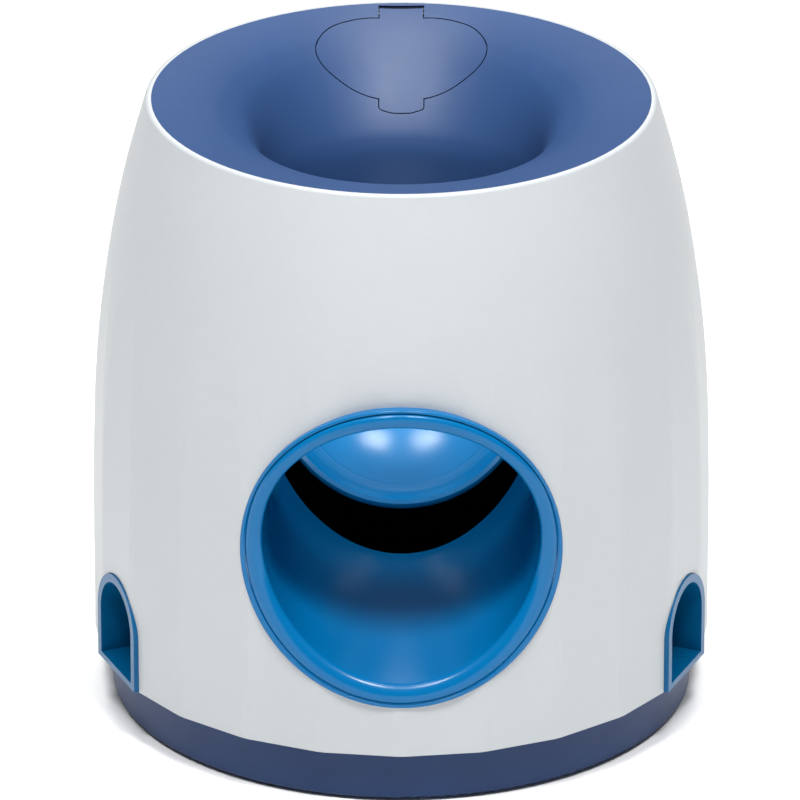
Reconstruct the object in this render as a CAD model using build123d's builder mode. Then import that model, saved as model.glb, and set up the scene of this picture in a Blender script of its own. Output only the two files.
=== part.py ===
from build123d import *
import os
from math import sin, cos, tan, radians, pi, sqrt, atan2, acos, hypot

os.makedirs("parts", exist_ok=True)

# ---------------------------------------------------------------- dimensions
# Ball-drop treat dispenser. Millimetres, +Z up, the ball mouth faces -Y.
# Origin: centre of the footprint, on the plane of the rubber feet.

RIM_Z = 176.3            # plane of the funnel's rim
BASE_BOT_Z = 1.0         # underside of the base; the feet stand proud of it
SHELL_LOW_Z = 16.2       # lower edge of the shell
BASE_R = 81.2            # outside radius of the base wall at its foot
BASE_DRAFT = 2.6         # degrees, the wall widens upwards
SPIGOT_R = 82.7          # base spigot inside the shell
DECK_Z = 20.4            # top of the base bosses

N_FACETS = 24            # the shell's lower part is a regular polygon in plan
SHELL_T = 2.4

# shell meridian: height, radius of the turned envelope, facet apothem
SHELL_PROFILE = [
    (16.2, 86.05, 85.45), (30.0, 86.03, 85.45), (45.0, 86.10, 85.50),
    (60.0, 86.05, 85.45), (75.0, 85.80, 85.20), (90.0, 85.30, 84.70),
    (105.0, 84.30, 83.80), (119.0, 82.80, 82.45), (129.0, 81.38, 81.25),
    (139.0, 79.75, 79.95), (149.0, 77.75, 78.35), (158.6, 75.47, 76.50),
    (168.5, 72.74, 74.30), (176.3, 70.45, 72.50),
]

# ball chute: a round tube that rises towards the back
TUBE_R = 37.9            # inside radius
TUBE_T = 2.0
RING_R = 44.04           # outside radius of the rolled rim
RING_Z = 75.47           # height of its centre
RING_TILT = 8.5          # degrees its outside leans back, narrower at the shell
CHUTE_SLOPE = 8.0        # degrees
CHUTE_Y, CHUTE_Z = -85.2, 75.9

# ball shaft
SHAFT_R = 37.9
SHAFT_END_Z = 125.0

# trigger dish
DISH_R = 34.3
DISH_DEPTH = 9.0
DISH_T = 2.0
DISH_TILT = 45.0
DISH_Y, DISH_Z = 14.8, 81.9
AXLE_Y, AXLE_Z = 26.0, 70.5
AXLE_R = 2.0
TRIGGER_SWING = 24.0

# dosing drums and gears
GEAR_M = 1.0
N_SECTOR, N_PINION = 54, 12
GEAR_PA = 25.0
DRUM_Y, DRUM_Z = AXLE_Y - GEAR_M * (N_SECTOR + N_PINION) / 2, AXLE_Z
DRUM_R = 13.0
PIN_R = 1.5

# side outlets: arched windows in the shell
OUTLET_AZ = 67.3         # degrees from the front, both sides
WINDOW_HALF = 13.9
WINDOW_CZ = 31.9         # centre of the arch
LINER_T = 2.4            # walls of the outlet liner
LINER_FLOOR = 1.7

# duct round each dosing drum, right-hand side
DUCT_X0, DUCT_X1 = 48.6, 65.2
DUCT_Y0, DUCT_Y1 = -20.5, 6.5
DUCT_T = 1.6
DUCT_TOP = 84.0

# treat hopper
HOP_IN, HOP_OUT = 41.5, 74.0
HOP_T = 1.8
HOP_FLOOR = 96.0
HOP_TOP = 148.0
HOP_SLOPE = 29.5         # degrees

# lid hinge
HINGE_Y, HINGE_Z = 66.75, 173.8
BARREL_R = 1.35
LID_PIN_R = 0.5
LID_T = 1.7

# fixings
POST_AZ = (42.0, -42.0, 140.0, -140.0)
POST_R = 72.0
FRAME_PTS = ((30.0, -20.0), (-30.0, -20.0), (30.0, 38.0), (-30.0, 38.0))
FOOT_AZ = (62.0, -62.0, 118.0, -118.0)
FOOT_R = 70.0


def az_xy(r, az):
    """Point at radius r and azimuth az, counted from the front towards +X."""
    return (r * sin(radians(az)), -r * cos(radians(az)))


# ------------------------------------------------------ funnel surface maths
# The bell drops steeply at the front and more gently at the rear, where the
# filler lid lies flush in the slope.
FRONT = [(0, 68.7), (1.4, 63.0), (3.5, 55.2), (5.7, 48.6), (6.9, 46.3),
         (9.5, 42.4), (13.3, 39.9), (17.7, 38.6), (23.6, 38.0), (29.6, 37.9), (38, 37.9)]
REAR = [(0, 68.7), (2, 65.6), (5, 61.6), (9, 57.0), (13, 52.9), (17, 49.0),
        (21, 45.4), (25, 42.2), (29, 39.7), (33, 38.4), (38, 37.9)]
KAPPA = 0.35


def pchip(table, x):
    """Monotone cubic interpolation through a table of (x, y)."""
    xs = [p[0] for p in table]
    ys = [p[1] for p in table]
    n = len(xs)
    h = [xs[i + 1] - xs[i] for i in range(n - 1)]
    d = [(ys[i + 1] - ys[i]) / h[i] for i in range(n - 1)]
    m = [0.0] * n
    m[0], m[-1] = d[0], d[-1]
    for i in range(1, n - 1):
        if d[i - 1] * d[i] > 0:
            w1, w2 = 2 * h[i] + h[i - 1], h[i] + 2 * h[i - 1]
            m[i] = (w1 + w2) / (w1 / d[i - 1] + w2 / d[i])
    x = min(max(x, xs[0]), xs[-1])
    i = 0
    while i < n - 2 and x > xs[i + 1]:
        i += 1
    t = (x - xs[i]) / h[i]
    return ((2 * t**3 - 3 * t**2 + 1) * ys[i] + (t**3 - 2 * t**2 + t) * h[i] * m[i]
            + (-2 * t**3 + 3 * t**2) * ys[i + 1] + (t**3 - t**2) * h[i] * m[i + 1])


def bell_radius(drop, phi):
    """Radius of the bell at a drop below the rim; phi is counted from +X."""
    rf, rr = pchip(FRONT, drop), pchip(REAR, drop)
    s = max(0.0, sin(phi))
    return rf + (rr - rf) * ((1 - KAPPA) * s * s + KAPPA * s)


def bell_meridian(phi, off):
    """Meridian of the bell at azimuth phi, moved by off away from the air side."""
    drops = [0.38 * i for i in range(0, 11)] + [4 + 1.0 * i for i in range(1, 52)]
    pts = [(bell_radius(d, phi), RIM_Z - d) for d in drops]
    out = []
    for i, (r, z) in enumerate(pts):
        a, b = pts[max(i - 1, 0)], pts[min(i + 1, len(pts) - 1)]
        tr, tz = b[0] - a[0], b[1] - a[1]
        ln = hypot(tr, tz)
        out.append((r - tz / ln * off, z + tr / ln * off))
    return out


def meridian_at(mer, z):
    """Radius of a meridian at height z, carried on level beyond its ends."""
    if z >= mer[0][1]:
        (r0, z0), (r1, z1) = mer[0], mer[1]
        return r0 + (z - z0) * (r0 - r1) / (z0 - z1)
    for (r0, z0), (r1, z1) in zip(mer, mer[1:]):
        if z1 <= z <= z0:
            return r1 + (r0 - r1) * (z - z1) / (z0 - z1)
    return mer[-1][0]


LEVELS = [0, 0.5, 1.2, 2.2, 3.5, 5.0, 6.8, 9.0, 11.5, 14.5, 18, 22, 26.5, 31, 35, 39, 46, 54]


def bell_sections(off, top=RIM_Z):
    """Closed level sections of the bell for one offset, top to bottom."""
    secs = []
    rear_phi = [radians(a) for a in range(0, 181, 15)]
    mer = [bell_meridian(p, off) for p in rear_phi]
    merf = bell_meridian(-0.1, off)
    for lv in LEVELS:
        z = top - lv
        rf = meridian_at(merf, z)
        rear = [(meridian_at(m, z) * cos(p), meridian_at(m, z) * sin(p))
                for m, p in zip(mer, rear_phi)]
        rear[0], rear[-1] = (rf, 0.0), (-rf, 0.0)
        secs.append((z, rf, rear))
    return secs


def bell_solid(off, top=RIM_Z):
    """Solid of the air space inside the bell, grown by off."""
    sketches = []
    for z, rf, rear in bell_sections(off, top):
        with BuildSketch(Plane.XY.offset(z)) as sk:
            with BuildLine():
                add(Edge.make_spline([Vector(*p) for p in rear],
                                     parameters=[i / (len(rear) - 1) for i in range(len(rear))]))
                RadiusArc((-rf, 0), (rf, 0), -rf, short_sagitta=True)
            make_face()
        sketches.append(sk.sketch)
    with BuildPart() as body:
        loft(sections=sketches)
    return body.part


# ------------------------------------------------------------- gear outline
def gear_points(teeth, m, first, count, backlash=0.10, steps=5):
    """Outline points of teeth first..first+count-1; tooth k is centred at
    k * 360/teeth degrees. Involute flanks."""
    pr = m * teeth / 2
    pa = radians(GEAR_PA)
    rb, ra, rf = pr * cos(pa), pr + 0.92 * m, pr - 1.2 * m
    inv = lambda a: tan(a) - a
    half = (pi * m / 2 - backlash) / (2 * pr)
    pts = []
    for k in range(first, first + count):
        c = 2 * pi * k / teeth
        flank = []
        r0 = max(rb, rf + 0.1)
        for i in range(steps + 1):
            r = r0 + (ra - r0) * i / steps
            a = acos(min(1.0, rb / r))
            flank.append((r, half + inv(pa) - inv(a)))
        low = [(rf, flank[0][1] + min(0.02, 0.3 * (pi / teeth - flank[0][1])))]
        left = low + flank
        pts += [(r * cos(c - a), r * sin(c - a)) for r, a in left]
        pts += [(r * cos(c + a), r * sin(c + a)) for r, a in reversed(left)]
    return pts


# =============================================================== OUTER SHELL
# Turned envelope cut by twelve curved slabs, two opposite facets each. The
# facets are full width at the foot and run out below the rim.
with BuildPart() as shell_blank:
    with BuildSketch(Plane.XZ):
        with BuildLine():
            Spline(*[(r, z) for z, r, a in SHELL_PROFILE])
            Polyline((SHELL_PROFILE[-1][1], RIM_Z), (0, RIM_Z), (0, SHELL_LOW_Z),
                     (SHELL_PROFILE[0][1], SHELL_LOW_Z))
        make_face()
    revolve(axis=Axis.Z)
    for i in range(N_FACETS // 2):
        az = 360.0 / N_FACETS * (i + 0.5)
        with BuildSketch(Plane.XZ.rotated((0, 0, az))):
            with BuildLine():
                Spline(*[(a, z) for z, r, a in SHELL_PROFILE])
                Line((SHELL_PROFILE[-1][2], RIM_Z), (-SHELL_PROFILE[-1][2], RIM_Z))
                Spline(*[(-a, z) for z, r, a in reversed(SHELL_PROFILE)])
                Line((-SHELL_PROFILE[0][2], SHELL_LOW_Z), (SHELL_PROFILE[0][2], SHELL_LOW_Z))
            make_face()
        extrude(amount=100, both=True, mode=Mode.INTERSECT)

CHUTE_DIR = (0, -cos(radians(CHUTE_SLOPE)), -sin(radians(CHUTE_SLOPE)))
chute_plane = Plane(origin=(0, CHUTE_Y, CHUTE_Z), x_dir=(1, 0, 0), z_dir=CHUTE_DIR)


def window_plane(side, r):
    """Upright plane facing outwards at the window, at distance r from the axis."""
    x, y = az_xy(r, side * OUTLET_AZ)
    az = radians(side * OUTLET_AZ)
    return Plane(origin=(x, y, 0), x_dir=(cos(az), sin(az), 0), z_dir=(sin(az), -cos(az), 0))


def arch(half, low, cz):
    """Arched outline: straight sides, half-round top."""
    with BuildSketch() as sk:
        with BuildLine():
            Polyline((-half, cz), (-half, low), (half, low), (half, cz))
            ThreePointArc((half, cz), (0, cz + half), (-half, cz))
        make_face()
    return sk.sketch


with BuildPart() as outer_shell:
    add(shell_blank.part)
    # rounded rim
    fillet(outer_shell.edges().group_by(Axis.Z)[-1], radius=1.0)
    # inside of the shell, with the seat for the funnel skirt near the top
    with BuildSketch(Plane.XZ):
        with BuildLine():
            Spline(*[(a - SHELL_T - (0.25 if z < 120 else 0.9 if z < 150 else 1.6), z)
                     for z, r, a in SHELL_PROFILE if z <= 158.6])
            Polyline((76.5 - 4.0, 158.6), (70.2, 166.0), (66.9, 168.6), (66.9, 171.6),
                     (68.9, 171.6), (68.9, RIM_Z + 3), (0, RIM_Z + 3), (0, SHELL_LOW_Z),
                     (85.45 - SHELL_T - 0.25, SHELL_LOW_Z))
        make_face()
    revolve(axis=Axis.Z, mode=Mode.SUBTRACT)
    # the seat is notched for the lid's hinge barrel
    with BuildSketch(Plane.XY.offset(169.5)):
        with Locations((0, 66.5)):
            Rectangle(20, 4.8)
    extrude(amount=2.4, mode=Mode.SUBTRACT)
    # four screw posts with ribs to the wall
    with BuildSketch(Plane.XY.offset(DECK_Z)):
        with Locations(*[az_xy(POST_R, a) for a in POST_AZ]):
            Circle(4.3)
        for a in POST_AZ:
            with Locations(Location((*az_xy(POST_R + 6.5, a), 0), (0, 0, a - 90))):
                Rectangle(11.5, 2.0)
    extrude(amount=38)
    with BuildSketch(Plane.XY.offset(DECK_Z)):
        with Locations(*[az_xy(POST_R, a) for a in POST_AZ]):
            Circle(1.5)
    extrude(amount=18, mode=Mode.SUBTRACT)
    # ball mouth
    with BuildSketch(chute_plane.offset(15)):
        Circle(41.7)
    extrude(amount=-60, mode=Mode.SUBTRACT)
    # arched windows
    for side in (1, -1):
        with BuildSketch(window_plane(side, 74)):
            add(arch(WINDOW_HALF, SHELL_LOW_Z - 5, WINDOW_CZ))
        extrude(amount=20, mode=Mode.SUBTRACT)
outer_shell.part.label = "outer_shell"
export_step(outer_shell.part, "parts/outer_shell.step")

# ================================================================ BASE PLATE
with BuildPart() as base_plate:
    with BuildSketch(Plane.XY.offset(BASE_BOT_Z)):
        Circle(BASE_R)
    extrude(amount=SHELL_LOW_Z - BASE_BOT_Z, taper=-BASE_DRAFT)
    fillet(base_plate.edges().group_by(Axis.Z)[0], radius=1.0)
    with BuildSketch(Plane.XY.offset(15.0)):
        Circle(SPIGOT_R)
    extrude(amount=DECK_Z - 15.0)
    with BuildSketch(Plane.XY.offset(3.4)):
        Circle(78.6)
    extrude(amount=30, mode=Mode.SUBTRACT)
    # screw bosses for the shell and the frame
    with BuildSketch(Plane.XY.offset(3.0)):
        with Locations(*[az_xy(POST_R, a) for a in POST_AZ]):
            Circle(5.2)
        with Locations(*FRAME_PTS):
            Circle(5.2)
    extrude(amount=DECK_Z - 3.0)
    # stiffening ribs across the floor
    with BuildSketch(Plane.XY.offset(3.0)):
        Rectangle(2.0, 156)
        Rectangle(156, 2.0)
    extrude(amount=4.0)
    with BuildSketch(Plane.XY.offset(BASE_BOT_Z)):
        with Locations(*[az_xy(POST_R, a) for a in POST_AZ], *FRAME_PTS):
            Circle(3.6)
    extrude(amount=11.0, mode=Mode.SUBTRACT)
    with BuildSketch(Plane.XY.offset(BASE_BOT_Z)):
        with Locations(*[az_xy(POST_R, a) for a in POST_AZ], *FRAME_PTS):
            Circle(1.7)
    extrude(amount=30.0, mode=Mode.SUBTRACT)
    # seats for the rubber feet
    with BuildSketch(Plane.XY.offset(BASE_BOT_Z)):
        with Locations(*[az_xy(FOOT_R, a) for a in FOOT_AZ]):
            Circle(6.2)
    extrude(amount=1.2, mode=Mode.SUBTRACT)
    # the spigot is notched at both windows
    for side in (1, -1):
        with BuildSketch(window_plane(side, 66)):
            with Locations((0, 30)):
                Rectangle(2 * WINDOW_HALF + 0.8, 2 * (30 - SHELL_LOW_Z))
        extrude(amount=20, mode=Mode.SUBTRACT)
base_plate.part.label = "base_plate"
export_step(base_plate.part, "parts/base_plate.step")

# ================================================================== FIXINGS
with BuildPart() as rubber_feet:
    with BuildSketch(Plane.XY):
        with Locations(*[az_xy(FOOT_R, a) for a in FOOT_AZ]):
            Circle(6.0)
    extrude(amount=2.2)
    fillet(rubber_feet.edges().group_by(Axis.Z)[0], radius=0.4)
rubber_feet.part.label = "rubber_feet"
export_step(rubber_feet.part, "parts/rubber_feet.step")


def screws(points, head_z, head_h, head_r, shank_r, tip_z, up=True):
    """Group of pan-head screws with cross slots, pointing up or down."""
    with BuildPart() as grp:
        s = 1 if up else -1
        with BuildSketch(Plane.XY.offset(head_z)):
            with Locations(*points):
                Circle(head_r)
        extrude(amount=s * head_h)
        with BuildSketch(Plane.XY.offset(head_z)):
            with Locations(*points):
                Rectangle(head_r * 1.2, 0.7)
                Rectangle(0.7, head_r * 1.2)
        extrude(amount=s * head_h * 0.5, mode=Mode.SUBTRACT)
        with BuildSketch(Plane.XY.offset(head_z + s * head_h)):
            with Locations(*points):
                Circle(shank_r)
        extrude(amount=tip_z - head_z - s * head_h if up else head_z - head_h - tip_z,
                dir=(0, 0, s))
    return grp.part


base_screws = screws([az_xy(POST_R, a) for a in POST_AZ], 9.8, 2.2, 3.0, 1.5, 34.0)
base_screws.label = "base_screws"
export_step(base_screws, "parts/base_screws.step")
frame_screws = screws(list(FRAME_PTS), 9.8, 2.2, 3.0, 1.5, 27.5)
frame_screws.label = "frame_screws"
export_step(frame_screws, "parts/frame_screws.step")

# ============================================================ MECHANISM FRAME
# Black channel round the ball well: floor, two cheek plates and a rear wall.
CHEEK_X0, CHEEK_X1 = 39.8, 42.2
HOP_SCREWS = [(s * 44.9, y) for s in (1, -1) for y in (-16.0, 5.0)]
CHUTE_PTS = ((15.0, -25.5), (-15.0, -25.5))
with BuildPart() as mech_frame:
    with BuildSketch(Plane.XY.offset(DECK_Z)):
        with Locations((0, (46.4 - 30) / 2)):
            Rectangle(2 * CHEEK_X1, 76.4)
    extrude(amount=2.4)
    with BuildSketch(Plane.YZ.offset(CHEEK_X0)):
        with BuildLine():
            Polyline((-30, DECK_Z), (46.4, DECK_Z), (46.4, 110), (32, 93.5), (-22.1, 93.5),
                     (-30, 84), close=True)
        make_face()
    extrude(amount=CHEEK_X1 - CHEEK_X0)
    mirror(about=Plane.YZ)
    with BuildSketch(Plane.XZ.offset(-46.4)):
        with Locations((0, (110 + DECK_Z) / 2)):
            Rectangle(2 * CHEEK_X1, 110 - DECK_Z)
    extrude(amount=2.4)
    # threaded bosses on the floor and ears for the hopper
    with BuildSketch(Plane.XY.offset(DECK_Z + 2.0)):
        with Locations(*FRAME_PTS):
            Circle(3.6)
    extrude(amount=7.6)
    with BuildSketch(Plane.XY.offset(87.0)):
        with Locations(*HOP_SCREWS):
            Circle(1.9)
        with Locations(*[((1 if x > 0 else -1) * 42.8, y) for x, y in HOP_SCREWS]):
            Rectangle(3.8, 3.8)
    extrude(amount=7.0)
    with BuildSketch(Plane.XY.offset(88.0)):
        with Locations(*HOP_SCREWS):
            Circle(1.0)
    extrude(amount=10, mode=Mode.SUBTRACT)
    with BuildSketch(Plane.XY.offset(DECK_Z - 1)):
        with Locations(*FRAME_PTS):
            Circle(1.5)
    extrude(amount=8.2, mode=Mode.SUBTRACT)
    with BuildSketch(Plane.XY.offset(DECK_Z - 1)):
        with Locations(*CHUTE_PTS):
            Circle(1.5)
    extrude(amount=8.2, mode=Mode.SUBTRACT)
    # holes for the axle bushes and the drum pins
    with BuildSketch(Plane.YZ.offset(-60)):
        with Locations((AXLE_Y, AXLE_Z)):
            Circle(4.0)
        with Locations((DRUM_Y, DRUM_Z)):
            Circle(PIN_R)
    extrude(amount=120, mode=Mode.SUBTRACT)
    # seat of the bumper in the rear wall
    with BuildSketch(Plane.XZ.offset(-47)):
        with Locations((0, 97)):
            Circle(1.6)
    extrude(amount=4, mode=Mode.SUBTRACT)
mech_frame.part.label = "mech_frame"
export_step(mech_frame.part, "parts/mech_frame.step")

with BuildPart() as stop_bumper:
    with BuildSketch(Plane.XZ.offset(-44.0)):
        with Locations((0, 97)):
            Circle(3.2)
    extrude(amount=3.5)
    fillet(stop_bumper.edges().group_by(Axis.Y)[0], radius=0.8)
    with BuildSketch(Plane.XZ.offset(-46.4)):
        with Locations((0, 97)):
            Circle(1.6)
    extrude(amount=2.4)
stop_bumper.part.label = "stop_bumper"
export_step(stop_bumper.part, "parts/stop_bumper.step")

# ================================================================ BALL CHUTE
RING_CURVE_R = 83.0
RING_FRONT_Y = -86.9
ring_axis = Plane(origin=(0, RING_FRONT_Y + RING_CURVE_R, 76.2), x_dir=(1, 0, 0),
                  z_dir=(0, 0, 1))
ring_plane = Plane(origin=(0, CHUTE_Y, RING_Z), x_dir=(1, 0, 0),
                   z_dir=(0, -cos(radians(RING_TILT)), sin(radians(RING_TILT))))
with BuildPart() as ball_chute:
    with BuildSketch(ring_plane.offset(12)):
        Circle(RING_R)
    extrude(amount=-34)
    add(shell_blank.part, mode=Mode.SUBTRACT)
    with BuildSketch(chute_plane.offset(12)):
        Circle(41.5)
    extrude(amount=-30)
    with BuildSketch(chute_plane.offset(12)):
        Circle(TUBE_R + TUBE_T)
    extrude(amount=-88)
    # legs that screw down to the frame floor
    with BuildSketch(Plane.XY.offset(DECK_Z + 2.4)):
        with Locations(*CHUTE_PTS):
            Circle(4.0)
    extrude(amount=28)
    with BuildSketch(ring_axis):
        Circle(RING_CURVE_R)
    extrude(amount=90, both=True, mode=Mode.INTERSECT)
    with BuildSketch(chute_plane.offset(20)):
        Circle(TUBE_R)
    extrude(amount=-120, mode=Mode.SUBTRACT)
    # open to the ball well above; the floor runs on as a trough to the dish
    with BuildSketch(Plane.XY.offset(68)):
        Circle(40.6)
        with Locations((0, 20)):
            Rectangle(120, 102)
    extrude(amount=90, mode=Mode.SUBTRACT)
    with BuildSketch(Plane.XY.offset(20)):
        with Locations((0, 40)):
            Circle(60)
    extrude(amount=49, mode=Mode.SUBTRACT)
    with BuildSketch(Plane.XY.offset(DECK_Z)):
        with Locations(*CHUTE_PTS):
            Circle(1.5)
    extrude(amount=16, mode=Mode.SUBTRACT)

    # the rolled rim: round both edges of its curved front, the inner one first
    front = [f for f in ball_chute.faces().filter_by(GeomType.CYLINDER)
             if abs((f.radius or 0) - RING_CURVE_R) < 0.5][0]
    fillet(front.edges().sort_by(SortBy.LENGTH)[:1], radius=2.4)
    front = [f for f in ball_chute.faces().filter_by(GeomType.CYLINDER)
             if abs((f.radius or 0) - RING_CURVE_R) < 0.5][0]
    fillet(front.edges().sort_by(SortBy.LENGTH)[-1:], radius=1.6)
ball_chute.part.label = "ball_chute"
export_step(ball_chute.part, "parts/ball_chute.step")

chute_screws = screws(list(CHUTE_PTS), 18.2, 2.2, 3.0, 1.5, 35.0)
chute_screws.label = "chute_screws"
export_step(chute_screws, "parts/chute_screws.step")

# ===================================================== TRIGGER: DISH AND AXLE
u = sin(radians(DISH_TILT))
v = cos(radians(DISH_TILT))
dish_plane = Plane(origin=(0, DISH_Y, DISH_Z), x_dir=(1, 0, 0), z_dir=(0, -u, v))
cap_r = (DISH_R**2 + DISH_DEPTH**2) / (2 * DISH_DEPTH)
dish_profile_plane = Plane(origin=(0, DISH_Y, DISH_Z), x_dir=(1, 0, 0), z_dir=(0, -v, -u))
step_r = 0.80 * DISH_R
step_z = -DISH_DEPTH + (cap_r - sqrt(cap_r**2 - step_r**2))
with BuildPart() as trigger_dish:
    with BuildSketch(dish_profile_plane):
        with BuildLine():
            # local x is the radius, local y the dish's axis
            ThreePointArc((0, -DISH_DEPTH), (0.5 * step_r, -DISH_DEPTH + cap_r - sqrt(cap_r**2 - 0.25 * step_r**2)),
                          (step_r, step_z))
            Polyline((step_r, step_z), (step_r + 0.35, step_z + 0.45))
            ThreePointArc((step_r + 0.35, step_z + 0.45), (0.91 * DISH_R, -1.45), (DISH_R - 0.6, 0.5))
            Polyline((DISH_R - 0.6, 0.5), (DISH_R + 0.7, 0.6), (DISH_R + 1.3, 0.0), (DISH_R + 1.3, -1.4))
            ThreePointArc((DISH_R + 1.3, -1.4), (0.55 * DISH_R, -DISH_DEPTH - DISH_T + 2.9),
                          (0, -DISH_DEPTH - DISH_T))
            Line((0, -DISH_DEPTH - DISH_T), (0, -DISH_DEPTH))
        make_face()
    revolve(axis=Axis(origin=(0, DISH_Y, DISH_Z), direction=(0, -u, v)))
    # hub on the axle, joined to the back of the dish by a saddle and two webs
    with BuildSketch(Plane.YZ.offset(-22)):
        with Locations((AXLE_Y, AXLE_Z)):
            Circle(5.0)
    extrude(amount=44)
    for x0 in (-17.0, 15.0):
        with BuildSketch(Plane.YZ.offset(x0)):
            with BuildLine():
                Polyline((AXLE_Y - 4.9, AXLE_Z - 1.0), (AXLE_Y + 4.9, AXLE_Z - 1.0),
                         (AXLE_Y + 9.0, AXLE_Z + 18.5), (AXLE_Y - 0.5, AXLE_Z + 9.6),
                         (AXLE_Y - 9.2, AXLE_Z + 0.6), (AXLE_Y - 21.5, AXLE_Z - 9.6), close=True)
            make_face()
        extrude(amount=2.0)
    with BuildSketch(Plane.YZ.offset(-30)):
        with Locations((AXLE_Y, AXLE_Z)):
            Circle(AXLE_R)
    extrude(amount=60, mode=Mode.SUBTRACT)
trigger_dish.part.label = "trigger_dish"
export_step(trigger_dish.part, "parts/trigger_dish.step")

with BuildPart() as trigger_axle:
    with BuildSketch(Plane.YZ.offset(-48.4)):
        with Locations((AXLE_Y, AXLE_Z)):
            Circle(AXLE_R)
    extrude(amount=96.8)
    chamfer(trigger_axle.edges(), length=0.4)
    # grooves for the clips
    for x0 in (-47.6, 46.8):
        with BuildSketch(Plane.YZ.offset(x0)):
            with Locations((AXLE_Y, AXLE_Z)):
                Circle(AXLE_R + 1)
                Circle(AXLE_R - 0.5, mode=Mode.SUBTRACT)
        extrude(amount=0.8, mode=Mode.SUBTRACT)
trigger_axle.part.label = "trigger_axle"
export_step(trigger_axle.part, "parts/trigger_axle.step")

with BuildPart() as axle_clips:
    for x0 in (-47.6, 46.8):
        with BuildSketch(Plane.YZ.offset(x0)):
            with Locations((AXLE_Y, AXLE_Z)):
                Circle(4.0)
                Circle(AXLE_R - 0.5, mode=Mode.SUBTRACT)
            with Locations((AXLE_Y, AXLE_Z + 3)):
                Rectangle(1.8, 6, mode=Mode.SUBTRACT)
        extrude(amount=0.8)
axle_clips.part.label = "axle_clips"
export_step(axle_clips.part, "parts/axle_clips.step")

with BuildPart() as axle_bushes:
    with BuildSketch(Plane.YZ.offset(CHEEK_X0 - 0.9)):
        with Locations((AXLE_Y, AXLE_Z)):
            Circle(5.6)
    extrude(amount=0.9)
    with BuildSketch(Plane.YZ.offset(CHEEK_X0)):
        with Locations((AXLE_Y, AXLE_Z)):
            Circle(4.0)
    extrude(amount=3.0)
    with BuildSketch(Plane.YZ.offset(30)):
        with Locations((AXLE_Y, AXLE_Z)):
            Circle(AXLE_R + 0.05)
    extrude(amount=20, mode=Mode.SUBTRACT)
    mirror(about=Plane.YZ)
axle_bushes.part.label = "axle_bushes"
export_step(axle_bushes.part, "parts/axle_bushes.step")

# toothed sectors on both ends of the axle
SEC_FIRST, SEC_COUNT = -1, 7
with BuildPart() as sector_gear_right:
    pts = gear_points(N_SECTOR, GEAR_M, SEC_FIRST, SEC_COUNT)
    sector_plane = Plane(origin=(43.4, AXLE_Y, AXLE_Z), x_dir=(0, -1, 0), z_dir=(-1, 0, 0))
    with BuildSketch(sector_plane):
        with BuildLine():
            Polyline(*pts, (4.0 * cos(radians(80)), 6.0), (-4.0, 3.0), (-3.0, -4.0), (3.0, -5.2), close=True)
        make_face()
        Circle(6.0)
        with BuildLine():
            Polyline((10.5, 0.6), (22.5, -0.2), (21.0, 8.4), (18.6, 12.2), (10.0, 5.8), close=True)
        make_face(mode=Mode.SUBTRACT)
    extrude(amount=-2.8)
    with BuildSketch(sector_plane.offset(0.2)):
        Circle(4.6)
    extrude(amount=-3.4)
    with BuildSketch(sector_plane.offset(2)):
        Circle(AXLE_R)
    extrude(amount=-8, mode=Mode.SUBTRACT)
sector_gear_right.part.label = "sector_gear_right"
export_step(sector_gear_right.part, "parts/sector_gear_right.step")
with BuildPart() as sector_gear_left:
    add(mirror(sector_gear_right.part, about=Plane.YZ, mode=Mode.PRIVATE))
sector_gear_left.part.label = "sector_gear_left"
export_step(sector_gear_left.part, "parts/sector_gear_left.step")

# return spring: a torsion coil round the axle beside the hub
with BuildPart() as return_spring:
    with BuildLine() as coil:
        Helix(pitch=1.35, height=9.45, radius=3.5, center=(24.5, AXLE_Y, AXLE_Z), direction=(1, 0, 0))
    wire = coil.wires()[0]
    with BuildSketch(Plane(origin=wire @ 0, z_dir=wire % 0)):
        Circle(0.5)
    sweep(path=wire)
    with BuildSketch(Plane(origin=wire @ 0, z_dir=wire % 0)):
        Circle(0.5)
    extrude(amount=-9)
    with BuildSketch(Plane(origin=wire @ 1, z_dir=wire % 1)):
        Circle(0.5)
    extrude(amount=11)
return_spring.part.label = "return_spring"
export_step(return_spring.part, "parts/return_spring.step")

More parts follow.
